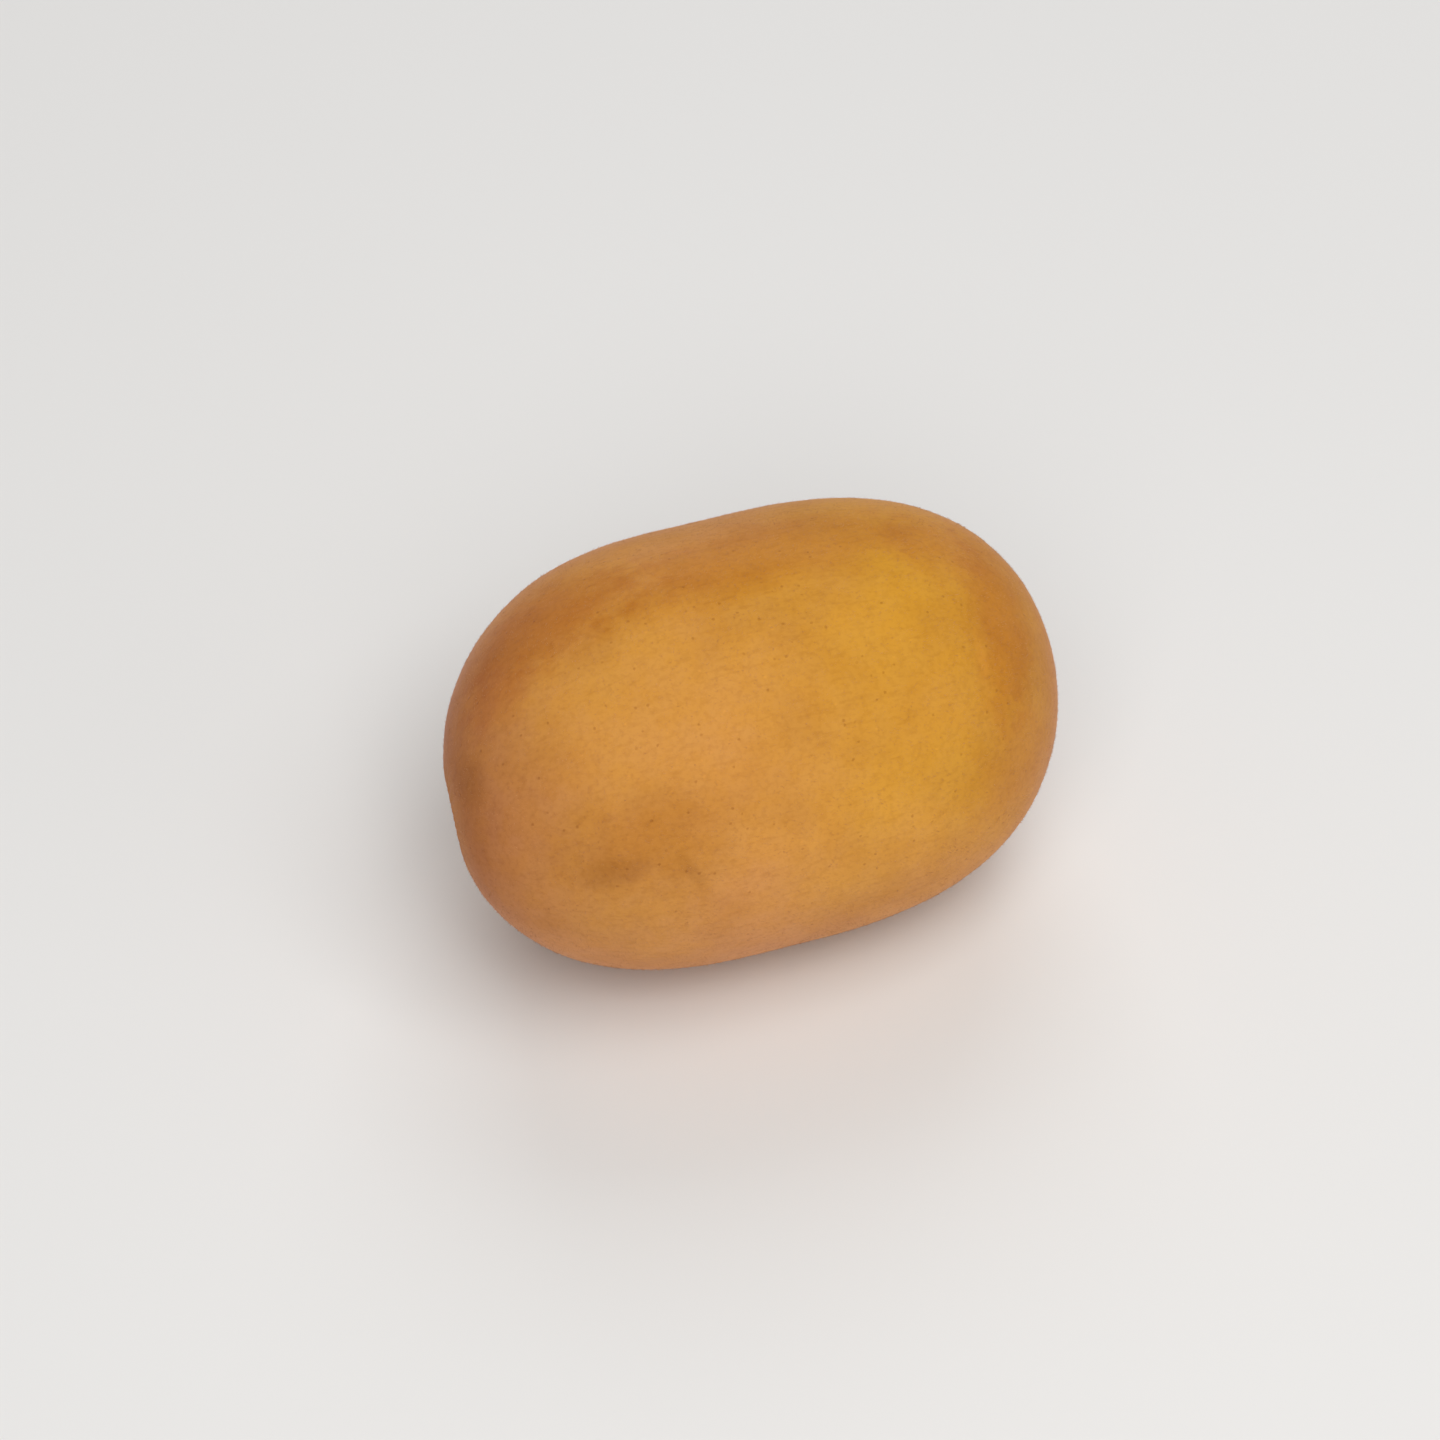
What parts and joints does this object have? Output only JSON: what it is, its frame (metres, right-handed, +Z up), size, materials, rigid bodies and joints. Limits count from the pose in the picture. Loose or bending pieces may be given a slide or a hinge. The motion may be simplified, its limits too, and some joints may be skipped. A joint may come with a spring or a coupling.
{
  "type": "golden kiwi fruit",
  "caption": "Whole ripe golden kiwi fruit lying on its side, a plump barrel with smooth bronze skin, a corky stem scar at one end and withered styles at the other.",
  "frame": {"origin": "under the middle of the fruit, on the surface that it rests on", "axes": "+X runs along the fruit from its stem end to its blossom end, +Z is up from the resting spot"},
  "size_m": [0.0756, 0.0522, 0.0491],
  "materials": {
    "kiwi_skin": "matte"
  },
  "bodies": {
    "root": {"kiwi_fruit": "kiwi_skin"}
  },
  "joints": []
}
